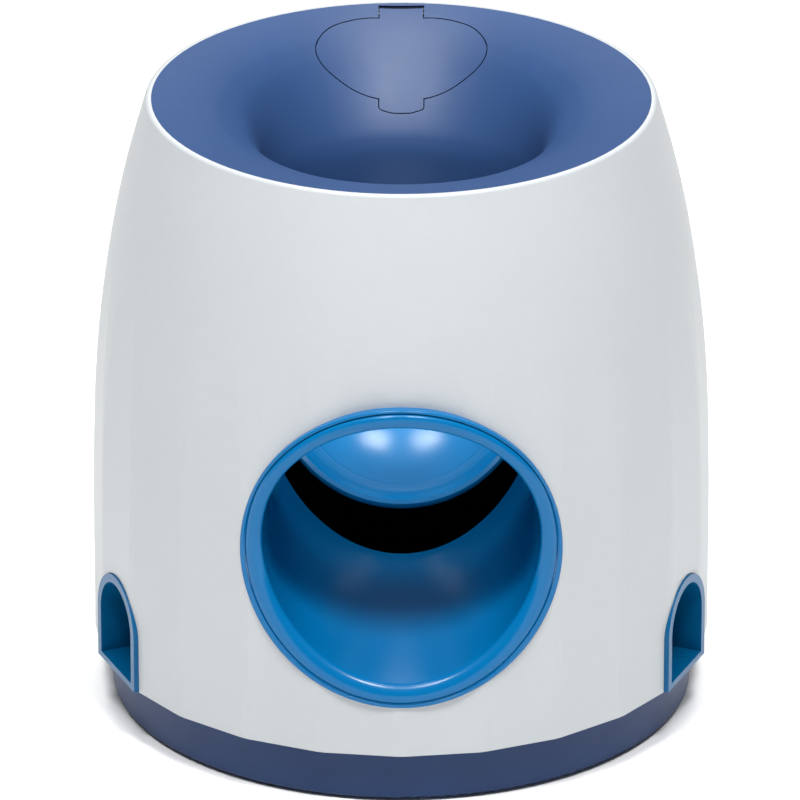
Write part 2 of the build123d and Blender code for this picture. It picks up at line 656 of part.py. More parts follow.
# ============================================================== DOSING DRUMS
POCKET_AZ = 47.0         # degrees above +Y, where the pocket faces at rest
with BuildPart() as dosing_drum_right:
    with BuildSketch(Plane.YZ.offset(49.0)):
        with Locations((DRUM_Y, DRUM_Z)):
            Circle(DRUM_R)
    extrude(amount=15.8)
    chamfer(dosing_drum_right.edges(), length=0.4)
    with BuildSketch(Plane.YZ.offset(46.2)):
        with Locations((DRUM_Y, DRUM_Z)):
            Circle(4.6)
    extrude(amount=2.9)
    pinion_plane = Plane(origin=(43.3, DRUM_Y, DRUM_Z), x_dir=(0, 1, 0), z_dir=(1, 0, 0))
    with BuildSketch(pinion_plane):
        with BuildLine():
            # a tooth space faces the sector
            pp = gear_points(N_PINION, GEAR_M, 0, N_PINION)
            a0 = pi / N_PINION
            Polyline(*[(x * cos(a0) - y * sin(a0), x * sin(a0) + y * cos(a0)) for x, y in pp], close=True)
        make_face()
    extrude(amount=3.0)
    # scoop pocket between the two end discs
    a1, a2 = radians(POCKET_AZ - 36), radians(POCKET_AZ + 36)
    with BuildSketch(Plane.YZ.offset(50.6)):
        with BuildLine():
            c = (DRUM_Y + 4.2 * cos(radians(POCKET_AZ)), DRUM_Z + 4.2 * sin(radians(POCKET_AZ)))
            p1 = (DRUM_Y + 20 * cos(a1), DRUM_Z + 20 * sin(a1))
            p2 = (DRUM_Y + 20 * cos(a2), DRUM_Z + 20 * sin(a2))
            Polyline(c, p1, p2, close=True)
        make_face()
    extrude(amount=12.6, mode=Mode.SUBTRACT)
    with BuildSketch(Plane.YZ.offset(40)):
        with Locations((DRUM_Y, DRUM_Z)):
            Circle(PIN_R + 0.05)
    extrude(amount=30, mode=Mode.SUBTRACT)
dosing_drum_right.part.label = "dosing_drum_right"
export_step(dosing_drum_right.part, "parts/dosing_drum_right.step")
with BuildPart() as dosing_drum_left:
    add(mirror(dosing_drum_right.part, about=Plane.YZ, mode=Mode.PRIVATE))
dosing_drum_left.part.label = "dosing_drum_left"
export_step(dosing_drum_left.part, "parts/dosing_drum_left.step")

with BuildPart() as drum_pin_right:
    with BuildSketch(Plane.YZ.offset(CHEEK_X0)):
        with Locations((DRUM_Y, DRUM_Z)):
            Circle(PIN_R)
    extrude(amount=DUCT_X1 + DUCT_T - CHEEK_X0)
    with BuildSketch(Plane.YZ.offset(DUCT_X1 + DUCT_T)):
        with Locations((DRUM_Y, DRUM_Z)):
            Circle(3.0)
    extrude(amount=1.2)
drum_pin_right.part.label = "drum_pin_right"
export_step(drum_pin_right.part, "parts/drum_pin_right.step")
with BuildPart() as drum_pin_left:
    add(mirror(drum_pin_right.part, about=Plane.YZ, mode=Mode.PRIVATE))
drum_pin_left.part.label = "drum_pin_left"
export_step(drum_pin_left.part, "parts/drum_pin_left.step")

# ================================================= SIDE OUTLETS WITH DROP DUCT
FLOOR_Z = SHELL_LOW_Z + 0.15
with BuildPart() as outlet_right:
    with BuildSketch(window_plane(1, 60)):
        add(arch(WINDOW_HALF - 0.15, FLOOR_Z, WINDOW_CZ))
    extrude(amount=26.1)
    with BuildSketch(Plane.XY.offset(FLOOR_Z)):
        with Locations(((DUCT_X0 + DUCT_X1) / 2, (DUCT_Y0 + DUCT_Y1) / 2)):
            Rectangle(DUCT_X1 - DUCT_X0 + 2 * DUCT_T, DUCT_Y1 - DUCT_Y0 + 2 * DUCT_T)
    extrude(amount=DUCT_TOP - FLOOR_Z)
    # hollow of the arch and of the duct
    with BuildSketch(window_plane(1, 60 + LINER_T)):
        add(arch(WINDOW_HALF - 0.15 - LINER_T, FLOOR_Z + LINER_FLOOR, WINDOW_CZ))
    extrude(amount=40, mode=Mode.SUBTRACT)
    with BuildSketch(Plane.XY.offset(FLOOR_Z + LINER_FLOOR)):
        with Locations(((DUCT_X0 + DUCT_X1) / 2, (DUCT_Y0 + DUCT_Y1) / 2)):
            Rectangle(DUCT_X1 - DUCT_X0, DUCT_Y1 - DUCT_Y0)
    extrude(amount=90, mode=Mode.SUBTRACT)
    # ramp that turns the drop towards the window
    with BuildSketch(Plane.YZ.offset(DUCT_X0 - 0.2)):
        with BuildLine():
            Polyline((DUCT_Y1 + 0.2, FLOOR_Z + 1), (DUCT_Y1 + 0.2, 50.0), (DUCT_Y1 - 18.5, FLOOR_Z + LINER_FLOOR),
                     (DUCT_Y1 - 18.5, FLOOR_Z + 1), close=True)
        make_face()
    extrude(amount=DUCT_X1 - DUCT_X0 + 0.4)
    # drum neck and pin pass through the duct's cheeks
    with BuildSketch(Plane.YZ.offset(46)):
        with Locations((DRUM_Y, DRUM_Z)):
            Circle(7.6)
    extrude(amount=3, mode=Mode.SUBTRACT)
    with BuildSketch(Plane.YZ.offset(64)):
        with Locations((DRUM_Y, DRUM_Z)):
            Circle(PIN_R)
    extrude(amount=5, mode=Mode.SUBTRACT)
outlet_right.part.label = "outlet_right"
export_step(outlet_right.part, "parts/outlet_right.step")
with BuildPart() as outlet_left:
    add(mirror(outlet_right.part, about=Plane.YZ, mode=Mode.PRIVATE))
outlet_left.part.label = "outlet_left"
export_step(outlet_left.part, "parts/outlet_left.step")

# ============================================================== TREAT HOPPER
# Horseshoe bin round the ball shaft, open at the front. Its floor slopes from
# the rear down to one spout over each dosing drum.
HOP_Y0 = DUCT_Y0 - DUCT_T


def hopper_plan(r_in, r_out, y0):
    """Horseshoe outline: round at the rear, straight inner sides at the front."""
    with BuildSketch() as sk:
        with BuildLine():
            xo = sqrt(r_out**2 - y0**2)
            Polyline((xo, y0), (r_in, y0), (r_in, 0))
            ThreePointArc((r_in, 0), (0, r_in), (-r_in, 0))
            Polyline((-r_in, 0), (-r_in, y0), (-xo, y0))
            ThreePointArc((-xo, y0), (0, r_out), (xo, y0))
        make_face()
    return sk.sketch


def above_floor(z_flat):
    """Everything above the hopper floor when its flat front part is at z_flat."""
    rise = (90 - (DUCT_Y1 + DUCT_T)) * tan(radians(HOP_SLOPE))
    with BuildPart() as body:
        with BuildSketch(Plane.YZ.offset(-100)):
            with BuildLine():
                Polyline((-60, z_flat), (DUCT_Y1 + DUCT_T, z_flat), (90, z_flat + rise), (90, 220),
                         (-60, 220), close=True)
            make_face()
        extrude(amount=200)
    return body.part


with BuildPart() as hopper_air:
    with BuildSketch(Plane.XY.offset(70)):
        add(hopper_plan(HOP_IN + HOP_T, HOP_OUT - HOP_T, HOP_Y0 + HOP_T))
    extrude(amount=100)
    add(above_floor(HOP_FLOOR), mode=Mode.INTERSECT)

with BuildPart() as treat_hopper:
    with BuildSketch(Plane.XY.offset(70)):
        add(hopper_plan(HOP_IN, HOP_OUT, HOP_Y0))
    extrude(amount=HOP_TOP - 70)
    add(above_floor(HOP_FLOOR - 2.0), mode=Mode.INTERSECT)
    add(hopper_air.part, mode=Mode.SUBTRACT)
    for s in (1, -1):
        with BuildSketch(Plane.XY.offset(DUCT_TOP)):
            with Locations((s * (DUCT_X0 + DUCT_X1) / 2, (DUCT_Y0 + DUCT_Y1) / 2)):
                Rectangle(DUCT_X1 - DUCT_X0 + 2 * DUCT_T, DUCT_Y1 - DUCT_Y0 + 2 * DUCT_T)
        extrude(amount=HOP_FLOOR - DUCT_TOP)
        with BuildSketch(Plane.XY.offset(DUCT_TOP - 1)):
            with Locations((s * (DUCT_X0 + DUCT_X1) / 2, (DUCT_Y0 + DUCT_Y1) / 2)):
                Rectangle(DUCT_X1 - DUCT_X0, DUCT_Y1 - DUCT_Y0)
        extrude(amount=20, mode=Mode.SUBTRACT)
    with BuildSketch(Plane.XY.offset(90)):
        with Locations(*HOP_SCREWS):
            Circle(1.05)
    extrude(amount=8, mode=Mode.SUBTRACT)
    # the inner wall stops under the bell
    with BuildSketch(Plane.XY.offset(140.5)):
        Circle(48)
    extrude(amount=20, mode=Mode.SUBTRACT)
treat_hopper.part.label = "treat_hopper"
export_step(treat_hopper.part, "parts/treat_hopper.step")

hopper_screws = screws(HOP_SCREWS, HOP_FLOOR + 1.2, 1.2, 1.5, 1.0, 88.4, up=False)
hopper_screws.label = "hopper_screws"
export_step(hopper_screws, "parts/hopper_screws.step")

# ============================================================ FUNNEL AND LID
air0 = bell_solid(0.0)
air_lid = bell_solid(LID_T)
air_seat = bell_solid(LID_T + 0.25)
air_wall = bell_solid(2.0)
air_pad = bell_solid(3.9)

# Lid outline on the bell, right half: x, y, z from the hinge down to the tab
LID_PTS = [(6.10, 64.15, 173.41), (11.40, 63.42, 173.50), (16.15, 61.66, 173.15),
           (20.07, 59.15, 172.47), (22.60, 55.91, 171.21), (23.82, 52.68, 169.56),
           (23.36, 50.21, 167.61), (21.23, 48.38, 164.97), (17.67, 47.28, 162.00),
           (13.36, 46.44, 159.17), (9.58, 46.14, 157.51), (6.17, 46.10, 156.61)]
TAB_LOW = [(6.16, 44.60, 154.80), (5.0, 44.0, 153.9), (3.2, 43.75, 153.45), (0.0, 43.75, 153.22)]
lid_n = Vector(0, -0.686, 0.728)
lid_t = Vector(0, 0.728, 0.686)
lid_origin = Vector(0, 66.3, 173.2)


def to_lid(p):
    """Point on the bell to the lid's own plane: x and distance up the slope."""
    d = Vector(*p) - lid_origin
    return (p[0], d.dot(lid_t))


def grow(pts, gap):
    """Points of an open chain, top to bottom, moved outwards (+X side) by gap."""
    out = []
    for i, p in enumerate(pts):
        q, r = pts[max(i - 1, 0)], pts[min(i + 1, len(pts) - 1)]
        dx, dy = r[0] - q[0], r[1] - q[1]
        ln = hypot(dx, dy)
        out.append((p[0] - dy / ln * gap, p[1] + dx / ln * gap))
    return out


def lid_outline(gap, up_to=2.7):
    """Lid outline in its plane, grown by gap."""
    body = [to_lid(p) for p in LID_PTS]
    tab = [to_lid(p) for p in TAB_LOW]
    b, t = grow(body, gap), grow(tab, gap)
    b[0] = (body[0][0] + gap, body[0][1] + gap)
    b[-1] = (body[-1][0] + gap, body[-1][1] - gap)
    t[0] = (body[-1][0] + gap, tab[0][1])
    t[-1] = (0.0, tab[-1][1] - gap)
    with BuildSketch(Plane(origin=lid_origin, x_dir=(1, 0, 0), z_dir=lid_n)) as sk:
        with BuildLine():
            Spline(*b)
            Line(b[-1], t[0])
            Spline(*t, tangents=((0, -1), (-1, 0)))
            Spline(*[(-x, y) for x, y in reversed(t)], tangents=((-1, 0), (0, 1)))
            Line((-t[0][0], t[0][1]), (-b[-1][0], b[-1][1]))
            Spline(*[(-x, y) for x, y in reversed(b)])
            Polyline((-b[0][0], b[0][1]), (-b[0][0], up_to), (b[0][0], up_to), b[0])
        make_face()
    return sk.sketch


def lid_prism(gap, up_to=2.7):
    with BuildPart() as pr:
        add(lid_outline(gap, up_to))
        extrude(amount=20, both=True, dir=lid_n)
    return pr.part


# Upper edges of the lid lean so that they clear the wall when the lid swings
top_n = Vector(0, 0.12, 0.993)
top_t = Vector(0, 0.993, -0.12)
with BuildPart() as top_prism:
    with BuildSketch(Plane(origin=lid_origin, x_dir=(1, 0, 0), z_dir=top_n)):
        tp = [(p[0], (Vector(*p) - lid_origin).dot(top_t)) for p in LID_PTS[:6]]
        with BuildLine():
            Spline(*tp)
            Polyline(tp[-1], (tp[-1][0] + 0.3, tp[-1][1] - 1.5), (tp[-1][0] + 0.3, -45),
                     (-tp[-1][0] - 0.3, -45), (-tp[-1][0] - 0.3, tp[-1][1] - 1.5), (-tp[-1][0], tp[-1][1]))
            Spline(*[(-x, y) for x, y in reversed(tp)])
            Polyline((-tp[0][0], tp[0][1]), (-tp[0][0], 0.45), (tp[0][0], 0.45), tp[0])
        make_face()
    extrude(amount=40, both=True)

prism_lid = lid_prism(0.0)
prism_gap = lid_prism(0.32, up_to=3.0)
prism_pad = lid_prism(3.2, up_to=1.0)
with BuildPart() as hole_core:
    core = grow([to_lid(p) for p in LID_PTS[1:-1]], -2.6)
    with BuildSketch(Plane(origin=lid_origin, x_dir=(1, 0, 0), z_dir=lid_n)):
        with BuildLine():
            Spline(*core)
            Line(core[-1], (-core[-1][0], core[-1][1]))
            Spline(*[(-x, y) for x, y in reversed(core)])
            Line((-core[0][0], core[0][1]), core[0])
        make_face()
    extrude(amount=20, both=True)

# pad under the lid that carries its seat, and the recess the lid lies in
with BuildPart() as pad:
    add(air_pad)
    add(prism_pad, mode=Mode.INTERSECT)
with BuildPart() as recess:
    add(air_seat)
    add(prism_gap, mode=Mode.INTERSECT)

with BuildPart() as funnel:
    add(air_wall)
    add(pad.part)
    # skirt that rests on the shell's seat
    with BuildSketch(Plane.XY.offset(171.7)):
        Circle(68.85)
        Circle(66.6, mode=Mode.SUBTRACT)
    extrude(amount=RIM_Z - 171.7)
    # trim to the rim and to the lower end of the ball shaft
    with BuildSketch(Plane.XY.offset(SHAFT_END_Z)):
        Circle(68.85)
    extrude(amount=RIM_Z - SHAFT_END_Z, mode=Mode.INTERSECT)
    add(air0, mode=Mode.SUBTRACT)
    # the pad stays clear of the shell's seat
    with BuildSketch(Plane.XY.offset(160)):
        Circle(72)
        Circle(66.4, mode=Mode.SUBTRACT)
    extrude(amount=11.7, mode=Mode.SUBTRACT)
    # its lower end stays above the hopper's inner wall
    with BuildSketch(Plane.XY.offset(SHAFT_END_Z - 1)):
        Circle(60)
        Circle(40.1, mode=Mode.SUBTRACT)
    extrude(amount=3.6, mode=Mode.SUBTRACT)
    # recess and opening of the filler lid
    add(recess.part, mode=Mode.SUBTRACT)
    add(hole_core.part, mode=Mode.SUBTRACT)
    # slot for the hinge barrel and holes for its pin
    with BuildSketch(Plane.YZ.offset(-6.4)):
        with Locations((HINGE_Y, HINGE_Z)):
            Circle(BARREL_R + 0.4)
        with BuildLine():
            Polyline((64.1, 169.0), (HINGE_Y, 169.0), (HINGE_Y, HINGE_Z + 1.0), (64.1, HINGE_Z - 0.4), close=True)
        make_face()
    extrude(amount=12.8, mode=Mode.SUBTRACT)
    with BuildSketch(Plane.YZ.offset(-9.2)):
        with Locations((HINGE_Y, HINGE_Z)):
            Circle(LID_PIN_R)
    extrude(amount=18.4, mode=Mode.SUBTRACT)
funnel.part.label = "funnel"
export_step(funnel.part, "parts/funnel.step")

with BuildPart() as filler_lid:
    add(air_lid)
    add(air0, mode=Mode.SUBTRACT)
    add(prism_lid, mode=Mode.INTERSECT)
    add(top_prism.part, mode=Mode.INTERSECT)
    with BuildSketch(Plane.XY.offset(140)):
        Circle(68.3)
    extrude(amount=50, mode=Mode.INTERSECT)
    # hinge barrel, flush with the bell on top
    with BuildSketch(Plane.YZ.offset(-6.1)):
        with Locations((HINGE_Y, HINGE_Z)):
            Circle(BARREL_R)
    extrude(amount=12.2)
    add(air0, mode=Mode.SUBTRACT)
    with BuildSketch(Plane.YZ.offset(-10)):
        with Locations((HINGE_Y, HINGE_Z)):
            Circle(LID_PIN_R + 0.06)
    extrude(amount=20, mode=Mode.SUBTRACT)
filler_lid.part.label = "filler_lid"
export_step(filler_lid.part, "parts/filler_lid.step")

with BuildPart() as lid_hinge_pin:
    with BuildSketch(Plane.YZ.offset(-9.2)):
        with Locations((HINGE_Y, HINGE_Z)):
            Circle(LID_PIN_R)
    extrude(amount=18.4)
lid_hinge_pin.part.label = "lid_hinge_pin"
export_step(lid_hinge_pin.part, "parts/lid_hinge_pin.step")
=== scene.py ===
import bpy
import bmesh
import numpy as np
from math import sin, cos, tan, pi, sqrt, radians, degrees, atan2, hypot, acos, exp
from mathutils import Vector, Matrix


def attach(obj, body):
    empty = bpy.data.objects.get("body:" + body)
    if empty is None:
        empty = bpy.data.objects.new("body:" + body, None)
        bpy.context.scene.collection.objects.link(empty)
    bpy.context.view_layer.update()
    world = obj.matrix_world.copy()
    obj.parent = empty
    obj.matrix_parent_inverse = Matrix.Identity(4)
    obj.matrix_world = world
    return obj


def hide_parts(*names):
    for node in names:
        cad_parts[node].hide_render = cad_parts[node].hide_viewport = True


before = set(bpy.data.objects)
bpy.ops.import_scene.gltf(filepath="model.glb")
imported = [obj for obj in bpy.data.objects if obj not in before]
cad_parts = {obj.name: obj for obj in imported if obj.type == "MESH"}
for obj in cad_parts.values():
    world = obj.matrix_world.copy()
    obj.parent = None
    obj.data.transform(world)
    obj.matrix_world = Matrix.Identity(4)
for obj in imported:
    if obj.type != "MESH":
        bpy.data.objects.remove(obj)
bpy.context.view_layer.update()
MM = 0.001
SC = bpy.context.scene
SC.view_settings.view_transform = "Standard"
SC.view_settings.look = "None"

# ------------------------------------------------------------------- camera
CAM_D, CAM_E, CAM_F = 2860.4, radians(24.042), 10265.7
CAM_CX, CAM_CY, CAM_Z0 = 401.31, 383.87, 89.65
cam_data = bpy.data.cameras.new("camera")
cam_data.sensor_fit = "HORIZONTAL"
cam_data.sensor_width = 36.0
cam_data.lens = CAM_F / 800.0 * 36.0
cam_data.shift_x = (400.0 - CAM_CX) / 800.0
cam_data.shift_y = (CAM_CY - 400.0) / 800.0
cam_data.clip_end = 50.0
cam = bpy.data.objects.new("camera", cam_data)
cam.location = (0.0, -CAM_D * cos(CAM_E) * MM, (CAM_Z0 + CAM_D * sin(CAM_E)) * MM)
cam.rotation_euler = (pi / 2 - CAM_E, 0.0, 0.0)
SC.collection.objects.link(cam)
SC.camera = cam


# -------------------------------------------------------------- node helpers
def clear_material(mat):
    mat.use_nodes = True
    nt = mat.node_tree
    nt.nodes.clear()
    out = nt.nodes.new("ShaderNodeOutputMaterial")
    bsdf = nt.nodes.new("ShaderNodeBsdfPrincipled")
    nt.links.new(bsdf.outputs[0], out.inputs[0])
    return nt, bsdf


def noise(nt, scale, detail=2.0, rough=0.5, stretch=None, seed=(0, 0, 0)):
    tc = nt.nodes.new("ShaderNodeTexCoord")
    mp = nt.nodes.new("ShaderNodeMapping")
    mp.inputs["Location"].default_value = seed
    if stretch:
        mp.inputs["Scale"].default_value = stretch
    nt.links.new(tc.outputs["Object"], mp.inputs[0])
    nz = nt.nodes.new("ShaderNodeTexNoise")
    nz.inputs["Scale"].default_value = scale
    nz.inputs["Detail"].default_value = detail
    nz.inputs["Roughness"].default_value = rough
    nt.links.new(mp.outputs[0], nz.inputs[0])
    return nz.outputs["Fac"]


def remap(nt, src, a, b, c, d):
    mr = nt.nodes.new("ShaderNodeMapRange")
    mr.inputs["From Min"].default_value = a
    mr.inputs["From Max"].default_value = b
    mr.inputs["To Min"].default_value = c
    mr.inputs["To Max"].default_value = d
    nt.links.new(src, mr.inputs["Value"])
    return mr.outputs[0]


def math(nt, op, x, y):
    m = nt.nodes.new("ShaderNodeMath")
    m.operation = op
    for i, v in enumerate((x, y)):
        if isinstance(v, (int, float)):
            m.inputs[i].default_value = v
        else:
            nt.links.new(v, m.inputs[i])
    return m.outputs[0]


def mix_col(nt, fac, a, b):
    mx = nt.nodes.new("ShaderNodeMix")
    mx.data_type = "RGBA"
    if isinstance(fac, (int, float)):
        mx.inputs[0].default_value = fac
    else:
        nt.links.new(fac, mx.inputs[0])
    for i, v in ((6, a), (7, b)):
        if isinstance(v, tuple):
            mx.inputs[i].default_value = (*v, 1.0)
        else:
            nt.links.new(v, mx.inputs[i])
    return mx.outputs[2]


def plastic(name, base, rough=0.35, vary=0.05, grain=0.0004, grain_size=0.0006, coat=0.0,
            coat_rough=0.1, ior=1.46, wave=0.0, scuff=0.03):
    """Moulded plastic: slow tone drift, fine spark-eroded grain, faint scuffs in the gloss."""
    mat = bpy.data.materials.new(name)
    nt, b = clear_material(mat)
    slow = noise(nt, 22.0, 3.0, 0.55)
    fine = noise(nt, 420.0, 2.0, 0.6, seed=(3.1, 1.7, 0.4))
    tone = remap(nt, slow, 0.30, 0.70, 0.0, 1.0)
    c0 = tuple(max(0.0, c * (1 - vary)) for c in base)
    c1 = tuple(min(1.0, c * (1 + vary)) for c in base)
    col = mix_col(nt, tone, c0, c1)
    speck = remap(nt, fine, 0.35, 0.65, 0.0, 0.10)
    col = mix_col(nt, speck, col, tuple(min(1.0, c * 1.12) for c in base))
    nt.links.new(col, b.inputs["Base Color"])
    streak = noise(nt, 60.0, 4.0, 0.65, stretch=(1.0, 1.0, 0.35), seed=(7.7, 2.2, 5.1))
    r = remap(nt, streak, 0.30, 0.75, rough - scuff, rough + scuff)
    nt.links.new(r, b.inputs["Roughness"])
    b.inputs["IOR"].default_value = ior
    if coat:
        b.inputs["Coat Weight"].default_value = coat
        b.inputs["Coat Roughness"].default_value = coat_rough
    bump = nt.nodes.new("ShaderNodeBump")
    bump.inputs["Distance"].default_value = grain
    bump.inputs["Strength"].default_value = 0.35
    h = noise(nt, 1.0 / grain_size, 2.0, 0.6, seed=(1.3, 9.1, 4.2))
    if wave:
        w = noise(nt, 34.0, 1.0, 0.4, seed=(5.5, 0.3, 8.8))
        h = math(nt, "ADD", math(nt, "MULTIPLY", w, wave), h)
    nt.links.new(h, bump.inputs["Height"])
    nt.links.new(bump.outputs[0], b.inputs["Normal"])
    return mat


def steel(name, base=(0.56, 0.56, 0.57), rough=0.28):
    mat = bpy.data.materials.new(name)
    nt, b = clear_material(mat)
    b.inputs["Metallic"].default_value = 1.0
    line = noise(nt, 260.0, 3.0, 0.6, stretch=(0.08, 1.0, 1.0))
    col = mix_col(nt, line, tuple(c * 0.82 for c in base), tuple(min(1, c * 1.15) for c in base))
    nt.links.new(col, b.inputs["Base Color"])
    nt.links.new(remap(nt, line, 0.3, 0.7, rough - 0.07, rough + 0.1), b.inputs["Roughness"])
    bump = nt.nodes.new("ShaderNodeBump")
    bump.inputs["Distance"].default_value = 0.0001
    bump.inputs["Strength"].default_value = 0.3
    nt.links.new(line, bump.inputs["Height"])
    nt.links.new(bump.outputs[0], b.inputs["Normal"])
    return mat


MAT = {
    "shell": plastic("shell_plastic", (0.440, 0.464, 0.480), rough=0.42, vary=0.012, grain=0.00003, scuff=0.02),
    "funnel": plastic("funnel_plastic", (0.020, 0.056, 0.158), rough=0.46, vary=0.05, grain=0.00004, ior=1.42),
    "base": plastic("base_plastic", (0.006, 0.029, 0.102), rough=0.48, vary=0.05, grain=0.00005, ior=1.36),
    "chute": plastic("chute_plastic", (0.0, 0.124, 0.325), rough=0.20, vary=0.03, grain=0.00002, ior=1.33),
    "outlet": plastic("outlet_plastic", (0.0, 0.085, 0.215), rough=0.30, vary=0.04, grain=0.00003, ior=1.33),
    "dish": plastic("dish_plastic", (0.0, 0.25, 0.62), rough=0.19, vary=0.02, grain=0.00001, ior=1.38),
    "black": plastic("frame_plastic", (0.006, 0.006, 0.007), rough=0.6, vary=0.1, grain=0.00006),
    "natural": plastic("hopper_plastic", (0.46, 0.46, 0.44), rough=0.5, vary=0.05, grain=0.00005),
    "acetal": plastic("acetal_plastic", (0.70, 0.69, 0.64), rough=0.4, vary=0.03, grain=0.00003),
    "rubber": plastic("foot_rubber", (0.022, 0.022, 0.024), rough=0.75, vary=0.12, grain=0.00012),
    "steel": steel("bright_steel"),
    # Hinge pin steel: a dark base colour and rougher than the bright steel; the pin's ends show only in the narrow
    # gap at the lid hinge
    "dark_steel": steel("dark_steel", (0.16, 0.16, 0.18), 0.42),
}

NODE_MAT = {
    "outer_shell": "shell", "funnel": "funnel", "filler_lid": "funnel", "base_plate": "base",
    "ball_chute": "chute", "outlet_left": "outlet", "outlet_right": "outlet", "trigger_dish": "dish",
    "mech_frame": "black", "treat_hopper": "natural", "sector_gear_left": "acetal",
    "sector_gear_right": "acetal", "dosing_drum_left": "acetal", "dosing_drum_right": "acetal",
    "axle_bushes": "acetal", "trigger_axle": "steel", "axle_clips": "steel",
    "drum_pin_left": "steel", "drum_pin_right": "steel", "lid_hinge_pin": "dark_steel",
    "return_spring": "steel", "base_screws": "steel", "frame_screws": "steel",
    "chute_screws": "steel", "hopper_screws": "steel", "rubber_feet": "rubber", "stop_bumper": "rubber",
}
for node, key in NODE_MAT.items():
    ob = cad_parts[node]
    ob.data.materials.clear()
    ob.data.materials.append(MAT[key])

# --------------------------------------------------- exact surfaces, in mm
RIM_Z = 176.3
SHELL = [(16.2, 86.05, 85.45), (30, 86.03, 85.45), (45, 86.10, 85.50), (60, 86.05, 85.45), (75, 85.80, 85.20),
         (90, 85.30, 84.70), (105, 84.30, 83.80), (119, 82.80, 82.45), (129, 81.38, 81.25), (139, 79.75, 79.95),
         (149, 77.75, 78.35), (158.6, 75.47, 76.50), (168.5, 72.74, 74.30), (176.3, 70.45, 72.50)]
FRONT = [(0, 68.7), (1.4, 63.0), (3.5, 55.2), (5.7, 48.6), (6.9, 46.3), (9.5, 42.4), (13.3, 39.9), (17.7, 38.6),
         (23.6, 38.0), (29.6, 37.9), (38, 37.9), (60, 37.9)]
REAR = [(0, 68.7), (2, 65.6), (5, 61.6), (9, 57.0), (13, 52.9), (17, 49.0), (21, 45.4), (25, 42.2), (29, 39.7),
        (33, 38.4), (38, 37.9), (60, 37.9)]
KAPPA = 0.35


def nat_spline(xs, ys):
    """Natural cubic spline through the points, as a function of x."""
    xs, ys = np.array(xs, float), np.array(ys, float)
    n, h = len(xs), np.diff(xs)
    a, b = np.zeros((n, n)), np.zeros(n)
    a[0, 0] = a[-1, -1] = 1.0
    for i in range(1, n - 1):
        a[i, i - 1], a[i, i], a[i, i + 1] = h[i - 1], 2 * (h[i - 1] + h[i]), h[i]
        b[i] = 6 * ((ys[i + 1] - ys[i]) / h[i] - (ys[i] - ys[i - 1]) / h[i - 1])
    m = np.linalg.solve(a, b)

    def f(x):
        x = np.clip(np.asarray(x, float), xs[0], xs[-1])
        i = np.clip(np.searchsorted(xs, x) - 1, 0, n - 2)
        t, hh = x - xs[i], h[i]
        return (ys[i] + t * ((ys[i + 1] - ys[i]) / hh - hh * (2 * m[i] + m[i + 1]) / 6)
                + t * t * m[i] / 2 + t ** 3 * (m[i + 1] - m[i]) / (6 * hh))
    return f


def monotone(table):
    """Monotone cubic interpolation through a table of (x, y)."""
    xs, ys = (np.array(c, float) for c in zip(*table))
    h, d = np.diff(xs), np.diff(ys) / np.diff(xs)
    m = np.zeros(len(xs))
    m[0], m[-1] = d[0], d[-1]
    for i in range(1, len(xs) - 1):
        if d[i - 1] * d[i] > 0:
            w1, w2 = 2 * h[i] + h[i - 1], h[i] + 2 * h[i - 1]
            m[i] = (w1 + w2) / (w1 / d[i - 1] + w2 / d[i])

    def f(x):
        x = np.clip(np.asarray(x, float), xs[0], xs[-1])
        i = np.clip(np.searchsorted(xs, x, side="right") - 1, 0, len(xs) - 2)
        t = (x - xs[i]) / h[i]
        return ((2 * t**3 - 3 * t**2 + 1) * ys[i] + (t**3 - 2 * t**2 + t) * h[i] * m[i]
                + (-2 * t**3 + 3 * t**2) * ys[i + 1] + (t**3 - t**2) * h[i] * m[i + 1])
    return f


r_turned = nat_spline([p[0] for p in SHELL], [p[1] for p in SHELL])
r_flat = nat_spline([p[0] for p in SHELL], [p[2] for p in SHELL])
r_front, r_rear = monotone(FRONT), monotone(REAR)


def bell_radius(drop, phi):
    s = np.maximum(0.0, np.sin(phi))
    rf, rr = r_front(drop), r_rear(drop)
    return rf + (rr - rf) * ((1 - KAPPA) * s * s + KAPPA * s)


def on_facets(p, c):
    """Flat columns of the shell's foot."""
    az = np.arctan2(c[:, 1], c[:, 0])
    k = np.floor(az / radians(15.0)) * radians(15.0) + radians(7.5)
    rc, zc = np.hypot(c[:, 0], c[:, 1]), c[:, 2]
    plane = rc * np.cos(az - k)
    ok = (abs(plane - r_flat(zc)) < 0.05) & (r_flat(zc) / np.cos(az - k) <= r_turned(zc) + 0.02)
    slope = (r_flat(p[:, 2] + 0.2) - r_flat(p[:, 2] - 0.2)) / 0.4
    return ok, np.stack([np.cos(k), np.sin(k), -slope], 1)


def on_turned(p, c):
    """Round part of the shell."""
    rc, zc = np.hypot(c[:, 0], c[:, 1]), c[:, 2]
    ok = (abs(rc - r_turned(zc)) < 0.09) & (zc < 175.3)
    az = np.arctan2(p[:, 1], p[:, 0])
    slope = (r_turned(p[:, 2] + 0.2) - r_turned(p[:, 2] - 0.2)) / 0.4
    return ok, np.stack([np.cos(az), np.sin(az), -slope], 1)


def on_rim(p, c):
    """Rounded rim of the shell."""
    r, az = np.hypot(p[:, 0], p[:, 1]), np.arctan2(p[:, 1], p[:, 0])
    dr, dz = r - 69.45, p[:, 2] - 175.3
    ok = (c[:, 2] > 175.2) & (np.hypot(c[:, 0], c[:, 1]) > 69.3)
    dr = np.maximum(dr, 0.0)
    return ok, np.stack([np.cos(az) * dr, np.sin(az) * dr, np.maximum(dz, 0.0) + 1e-6], 1)


